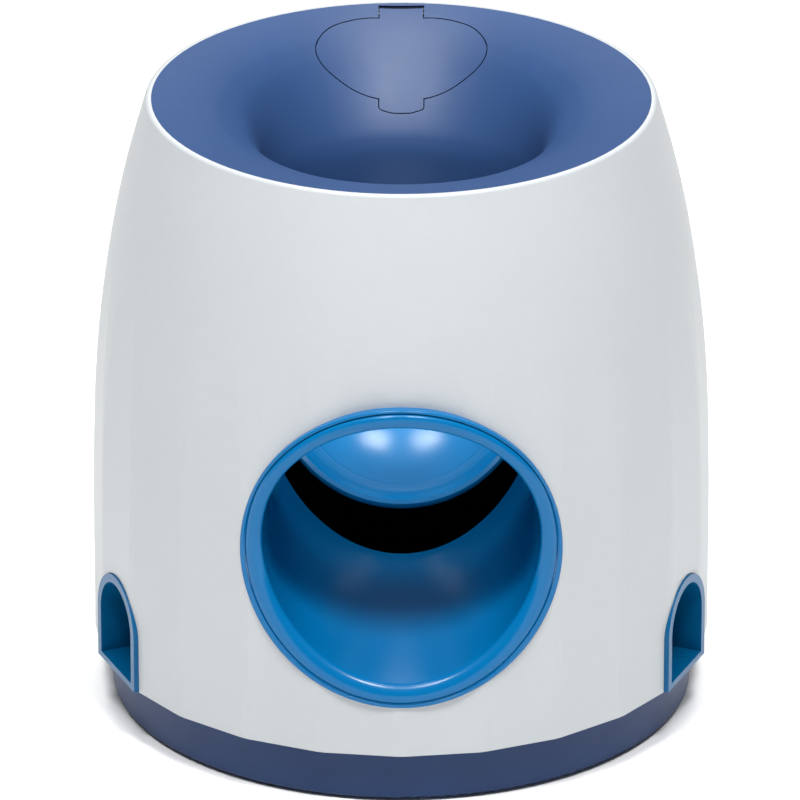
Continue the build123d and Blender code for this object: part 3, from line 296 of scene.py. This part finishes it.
def on_bell(p, c):
    """Inside of the funnel and top of the lid."""
    def at(x, y, z):
        phi = np.arctan2(y, x)
        phi = np.where(c[:, 1] >= 0, np.where(y < 0, np.where(x > 0, 0.0, pi), phi), np.where(y > 0, 0.0, phi))
        return bell_radius(RIM_Z - z, phi) - np.hypot(x, y)
    e = 0.03
    x, y, z = p[:, 0], p[:, 1], p[:, 2]
    zc = np.minimum(z, RIM_Z - e)
    ok = (abs(at(c[:, 0], c[:, 1], c[:, 2])) < 0.14) & (abs(at(x, y, z)) < 0.05)
    lo, hi = np.where(c[:, 1] >= 0, 0.0, -2 * e), np.where(c[:, 1] >= 0, 2 * e, 0.0)
    g = np.stack([at(x + e, y, zc) - at(x - e, y, zc), at(x, y + hi, zc) - at(x, y + lo, zc),
                  at(x, y, zc + e) - at(x, y, zc - e)], 1)
    return ok, g


def on_base(p, c):
    """Drafted wall of the base."""
    r, az = np.hypot(c[:, 0], c[:, 1]), np.arctan2(p[:, 1], p[:, 0])
    ok = (abs(r - (81.2 + (c[:, 2] - 1.0) * tan(radians(2.6)))) < 0.1) & (c[:, 2] > 2.1) & (c[:, 2] < 16.3)
    return ok, np.stack([np.cos(az), np.sin(az), np.full(len(az), -tan(radians(2.6)))], 1)


CH = np.array([0, -cos(radians(8.0)), -sin(radians(8.0))])


def on_tube(p, c):
    """Bore of the ball chute."""
    o = np.array([0, -85.2, 75.9])

    def off(q):
        d = q - o
        return d - (d @ CH)[:, None] * CH
    dc, dp = off(c), off(p)
    return abs(np.linalg.norm(dc, axis=1) - 37.9) < 0.12, dp


def shade(ob, angle, surfaces=()):
    """Smooth by angle, then exact normals on the faces of known surfaces."""
    me = ob.data
    for q in me.polygons:
        q.use_smooth = True
    me.set_sharp_from_angle(angle=radians(angle))
    nl, npoly = len(me.loops), len(me.polygons)
    nrm = np.zeros(nl * 3, np.float32)
    me.corner_normals.foreach_get("vector", nrm)
    nrm = nrm.reshape(-1, 3).astype(float)
    co = np.zeros(len(me.vertices) * 3, np.float32)
    me.vertices.foreach_get("co", co)
    co = co.reshape(-1, 3).astype(float) / MM
    vi, tot = np.zeros(nl, np.int32), np.zeros(npoly, np.int32)
    me.loops.foreach_get("vertex_index", vi)
    me.polygons.foreach_get("loop_total", tot)
    fn = np.zeros(npoly * 3, np.float32)
    me.polygons.foreach_get("normal", fn)
    fi = np.repeat(np.arange(npoly), tot)
    fc = np.zeros((npoly, 3))
    np.add.at(fc, fi, co[vi])
    fc = (fc / tot[:, None])[fi]
    fn = fn.reshape(-1, 3).astype(float)[fi]
    for f in surfaces:
        ok, n = f(co[vi], fc)
        n = n / np.maximum(np.linalg.norm(n, axis=1), 1e-9)[:, None]
        n = n * np.sign((n * fn).sum(1))[:, None]
        ok = ok & ((n * fn).sum(1) > 0.86)
        nrm[ok] = n[ok]
    me.normals_split_custom_set([tuple(v) for v in nrm])


def twin(node, name, body, angle=30.0, surfaces=()):
    """Skin of a CAD node, welded into one mesh and shaded with exact normals."""
    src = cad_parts[node].data
    co = np.zeros(len(src.vertices) * 3, np.float32)
    src.vertices.foreach_get("co", co)
    co = co.reshape(-1, 3)
    key = np.round(co.astype(float) * 1e6).astype(np.int64)
    uniq, first, inv = np.unique(key, axis=0, return_index=True, return_inverse=True)
    inv = inv.reshape(-1)
    faces = [[int(inv[v]) for v in q.vertices] for q in src.polygons]
    faces = [f for f in faces if len(set(f)) == 3]
    me = bpy.data.meshes.new(name)
    me.from_pydata([tuple(map(float, co[i])) for i in first], [], faces)
    me.materials.append(MAT[NODE_MAT[node]])
    ob = bpy.data.objects.new(name, me)
    SC.collection.objects.link(ob)
    shade(ob, angle, surfaces)
    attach(ob, body)
    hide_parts(node)
    return ob


shell_skin = twin("outer_shell", "shell_skin", "housing", 24.0, (on_facets, on_turned, on_rim))
funnel_skin = twin("funnel", "funnel_skin", "housing", 30.0, (on_bell,))
lid_skin = twin("filler_lid", "lid_skin", "lid", 30.0, (on_bell,))
base_skin = twin("base_plate", "base_skin", "housing", 30.0, (on_base,))


def make(name, verts, faces):
    """Mesh object from points in millimetres, with outward faces."""
    me = bpy.data.meshes.new(name)
    me.from_pydata([tuple(float(c) * MM for c in v) for v in verts], [], [tuple(int(i) for i in f) for f in faces])
    bm = bmesh.new()
    bm.from_mesh(me)
    bmesh.ops.recalc_face_normals(bm, faces=bm.faces)
    bm.to_mesh(me)
    bm.free()
    ob = bpy.data.objects.new(name, me)
    SC.collection.objects.link(ob)
    return ob


def rows_mesh(name, rows, wrap=False, caps=False):
    """Rows of equal length, each closed on itself; wrap joins the last row to the first."""
    n, m = len(rows[0]), len(rows)
    faces = []
    for i in range(m if wrap else m - 1):
        j = (i + 1) % m
        faces += [(i * n + k, i * n + (k + 1) % n, j * n + (k + 1) % n, j * n + k) for k in range(n)]
    if caps:
        faces.append(tuple(range(n)))
        faces.append(tuple((m - 1) * n + k for k in range(n)))
    return make(name, np.concatenate([np.asarray(r, float) for r in rows]), faces)


def prism(name, outline, z0, z1):
    """Upright prism over a closed outline in X and Y."""
    return rows_mesh(name, [[(x, y, z) for x, y in outline] for z in (z0, z1)], caps=True)


def ring_of(r, cx, cy, n=160):
    return [(cx + r * cos(2 * pi * i / n), cy + r * sin(2 * pi * i / n)) for i in range(n)]


def solid_op(ob, other, op):
    """Boolean of two closed meshes, applied at once."""
    md = ob.modifiers.new("op", "BOOLEAN")
    md.operation, md.object, md.solver = op, other, "EXACT"
    dg = bpy.context.evaluated_depsgraph_get()
    me = bpy.data.meshes.new_from_object(ob.evaluated_get(dg))
    ob.modifiers.clear()
    old, ob.data = ob.data, me
    bpy.data.meshes.remove(old)
    bpy.data.objects.remove(other)
    if not me.polygons:
        raise RuntimeError("nothing left of " + ob.name)


# Ball chute. The rolled rim follows the curve of the shell: a flange with a fine
# groove, a round bead, and a soft turn into the bore.
FRONT_C, FRONT_R = -3.9, 83.0
ROLL = [(1.0, 4.5), (1.0, 2.2), (0.998, 1.62), (0.985, 1.22), (0.962, 0.98), (0.935, 0.88), (0.905, 0.84),
        (0.872, 0.86), (0.852, 1.00), (0.840, 1.35), (0.830, 1.75), (0.816, 1.75), (0.803, 1.25), (0.788, 0.88),
        (0.765, 0.60), (0.735, 0.40), (0.695, 0.22), (0.650, 0.10), (0.600, 0.03), (0.550, 0.0), (0.500, 0.01),
        (0.450, 0.05), (0.395, 0.12), (0.340, 0.22), (0.285, 0.36), (0.230, 0.54), (0.180, 0.76), (0.132, 1.03),
        (0.090, 1.35), (0.056, 1.70), (0.028, 2.12), (0.010, 2.60), (0.0, 3.2)]
SEGS = 288
th = np.linspace(0, 2 * pi, SEGS, endpoint=False)
RD = np.array([0, -cos(radians(8.5)), sin(radians(8.5))])


def on_front(r, centre, d):
    """Where the round line of radius r about an axis meets the curved front."""
    ey = np.array([0.0, d[2], -d[1]])
    ey = ey if ey[2] > 0 else -ey
    base = centre + r * (np.cos(th)[:, None] * np.array([1.0, 0, 0]) + np.sin(th)[:, None] * ey)
    y = FRONT_C - np.sqrt(FRONT_R ** 2 - base[:, 0] ** 2)
    s = (y - base[:, 1]) / d[1]
    return base + s[:, None] * d


p_in = on_front(37.9, np.array([0, -85.2, 75.9]), CH)
p_out = on_front(44.04, np.array([0, -85.2, 75.47]), RD)
rows = []
for t, dep in ROLL:
    q = p_in + t * (p_out - p_in)
    q[:, 1] = FRONT_C - np.sqrt(FRONT_R ** 2 - q[:, 0] ** 2)
    back = -(CH * (1 - t) + RD * t)
    if t > 0.78 and dep < 2:
        # the flange stays proud of the shell all round
        proud = -np.sqrt(r_turned(q[:, 2]) ** 2 - q[:, 0] ** 2) - q[:, 1]
        dep = (dep * np.clip((proud - 0.32) / 1.75, 0.08, 1.0))[:, None]
    rows.append(q + dep * back / abs(back[1]))
for dep in (6.0, 12.0, 20.0, 30.0, 42.0, 56.0, 72.0, 88.0):
    rows.append(p_in - dep * CH / abs(CH[1]))
axis0 = np.array([0, -85.2, 75.9])


def shell_row(r, s):
    ey = np.array([0.0, CH[2], -CH[1]])
    ey = ey if ey[2] > 0 else -ey
    return axis0 + r * (np.cos(th)[:, None] * np.array([1.0, 0, 0]) + np.sin(th)[:, None] * ey) - s * CH


rows[-1] = shell_row(37.9, 88.0)
rows += [shell_row(39.9, 88.0), shell_row(39.9, 30.0), shell_row(41.5, 30.0), shell_row(41.5, 17.5)]
chute_skin = rows_mesh("chute_skin", rows, wrap=True)
solid_op(chute_skin, prism("cut_a", ring_of(40.6, 0, 0), 68.0, 158.0), "DIFFERENCE")
solid_op(chute_skin, prism("cut_b", [(-60, -31), (60, -31), (60, 71), (-60, 71)], 68.0, 158.0), "DIFFERENCE")
solid_op(chute_skin, prism("cut_c", ring_of(60, 0, 40), 20.0, 69.0), "DIFFERENCE")
for s in (-1, 1):
    leg = prism("leg", ring_of(4.0, 15.0 * s, -25.5, 40), 22.8, 44.0)
    solid_op(leg, prism("bore", ring_of(1.5, 15.0 * s, -25.5, 24), 20.0, 36.4), "DIFFERENCE")
    solid_op(chute_skin, leg, "UNION")
chute_skin.data.materials.clear()
chute_skin.data.materials.append(MAT["chute"])
shade(chute_skin, 40.0, (on_tube,))
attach(chute_skin, "housing")
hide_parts("ball_chute")
dish_skin = twin("trigger_dish", "dish_skin", "trigger", 24.0)

# -------------------------------------------------------------------- floor
bm = bmesh.new()
bmesh.ops.create_grid(bm, x_segments=1, y_segments=1, size=6.0)
me = bpy.data.meshes.new("floor")
bm.to_mesh(me)
bm.free()
floor = bpy.data.objects.new("floor", me)
SC.collection.objects.link(floor)
fm = bpy.data.materials.new("floor_paper")
nt, b = clear_material(fm)
b.inputs["Roughness"].default_value = 0.9
b.inputs["Specular IOR Level"].default_value = 0.1
nt.links.new(mix_col(nt, noise(nt, 4.0, 2.0), (0.945, 0.945, 0.945), (0.955, 0.955, 0.955)), b.inputs["Base Color"])
me.materials.append(fm)

# ------------------------------------------------------------------- lights
SKY_LOW, SKY_TOP = 0.07, 1.05
world = bpy.data.worlds.new("studio")
SC.world = world
world.use_nodes = True
bg = world.node_tree.nodes["Background"]
bg.inputs[0].default_value = (1.0, 1.0, 1.0, 1.0)
wt = world.node_tree
w_dir = wt.nodes.new("ShaderNodeTexCoord")
w_sep = wt.nodes.new("ShaderNodeSeparateXYZ")
wt.links.new(w_dir.outputs["Generated"], w_sep.inputs[0])
w_up = math(wt, "POWER", math(wt, "MAXIMUM", w_sep.outputs[2], 0.0), 4.0)
wt.links.new(math(wt, "ADD", math(wt, "MULTIPLY", w_up, SKY_TOP), SKY_LOW), bg.inputs[1])


def area(name, loc, target, size, size_y, power, color=(1, 1, 1)):
    ld = bpy.data.lights.new(name, "AREA")
    ld.shape = "RECTANGLE"
    ld.size, ld.size_y = size, size_y
    ld.energy = power
    ld.color = color
    ob = bpy.data.objects.new(name, ld)
    ob.location = loc
    ob.rotation_euler = (Vector(target) - Vector(loc)).to_track_quat("-Z", "Y").to_euler()
    SC.collection.objects.link(ob)
    return ob


area("key_left", (-0.34, -0.72, 1.60), (0, 0, 0.08), 0.34, 0.34, 15.5)
area("key_right", (0.34, -0.72, 1.60), (0, 0, 0.08), 0.34, 0.34, 18.0)
area("over_left", (-0.27, -0.08, 1.65), (0, 0.02, 0.08), 0.22, 0.26, 5.5)
area("over_right", (0.27, -0.08, 1.65), (0, 0.02, 0.08), 0.22, 0.26, 5.5)
area("backdrop", (0.0, 2.9, 2.6), (0, 2.9, 0.0), 1.6, 3.6, 48.0)
